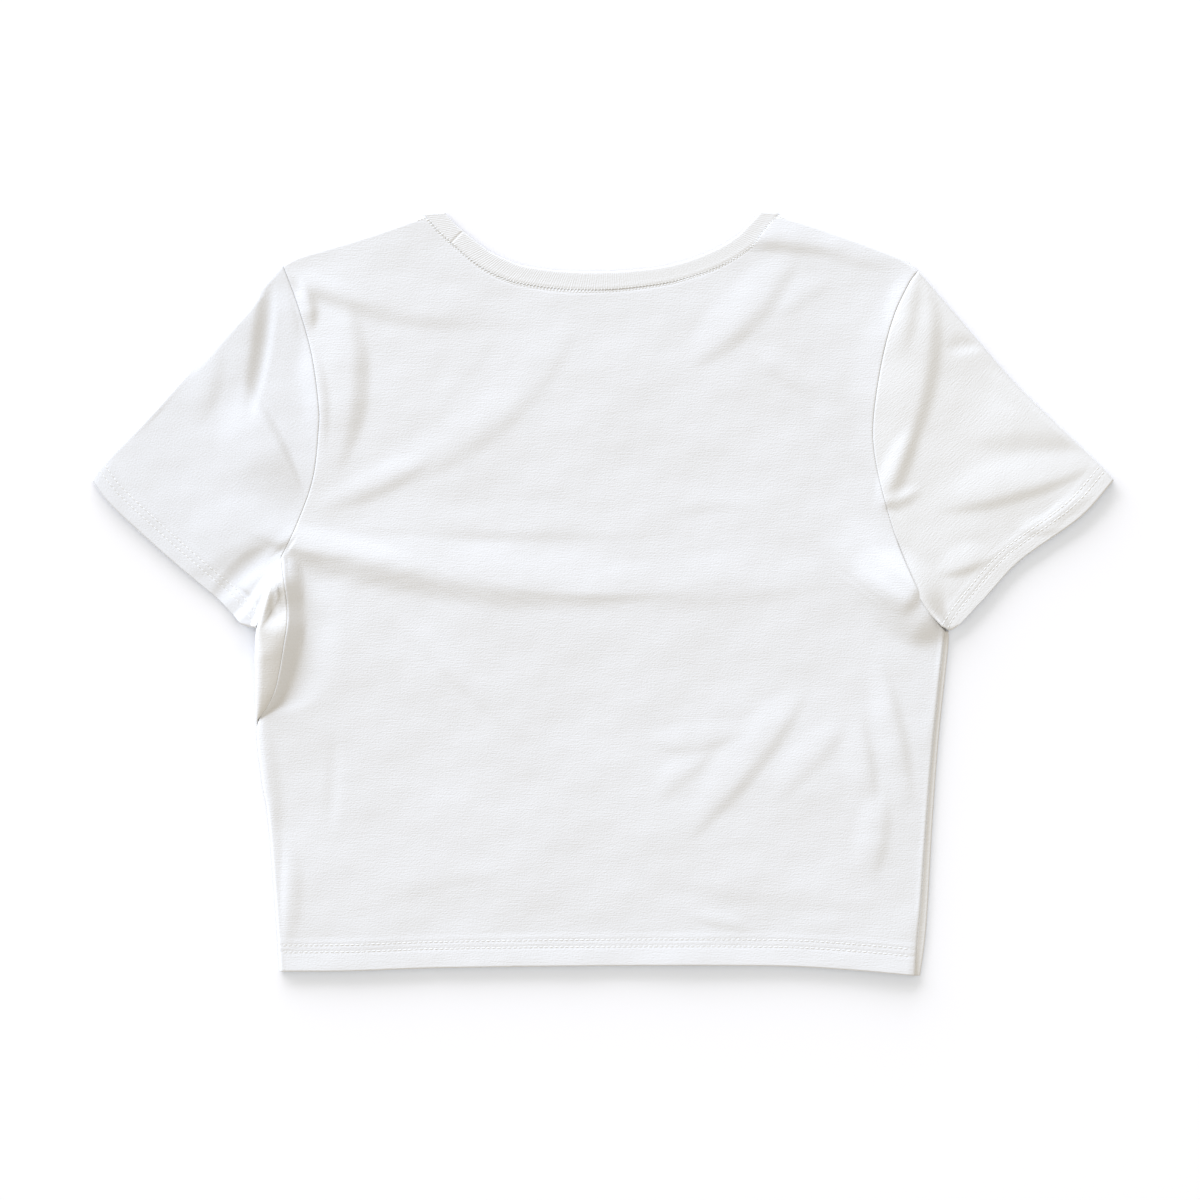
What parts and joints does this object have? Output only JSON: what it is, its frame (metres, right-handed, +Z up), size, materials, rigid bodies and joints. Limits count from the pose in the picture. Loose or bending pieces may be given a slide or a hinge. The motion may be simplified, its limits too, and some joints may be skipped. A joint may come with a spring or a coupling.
{
  "type": "crop top",
  "caption": "Short-sleeved crop top in plain white jersey with a narrow ribbed neckband, laid flat with its back side up.",
  "frame": {"origin": "middle of the garment's outline, on the surface that it lies on", "axes": "+X across the garment to the right sleeve as seen from above, +Y from the hem to the neck, +Z up from the surface"},
  "size_m": [0.5868, 0.4397, 0.0092],
  "materials": {
    "jersey_body": "fine white cotton jersey, matt",
    "jersey_sleeves": "fine white cotton jersey, matt",
    "rib_neckband": "fine white cotton rib, folded double"
  },
  "bodies": {
    "root": {"back_panel": "jersey_body", "front_panel": "jersey_body", "sleeve_left": "jersey_sleeves", "sleeve_right": "jersey_sleeves", "neckband": "rib_neckband"}
  },
  "joints": []
}
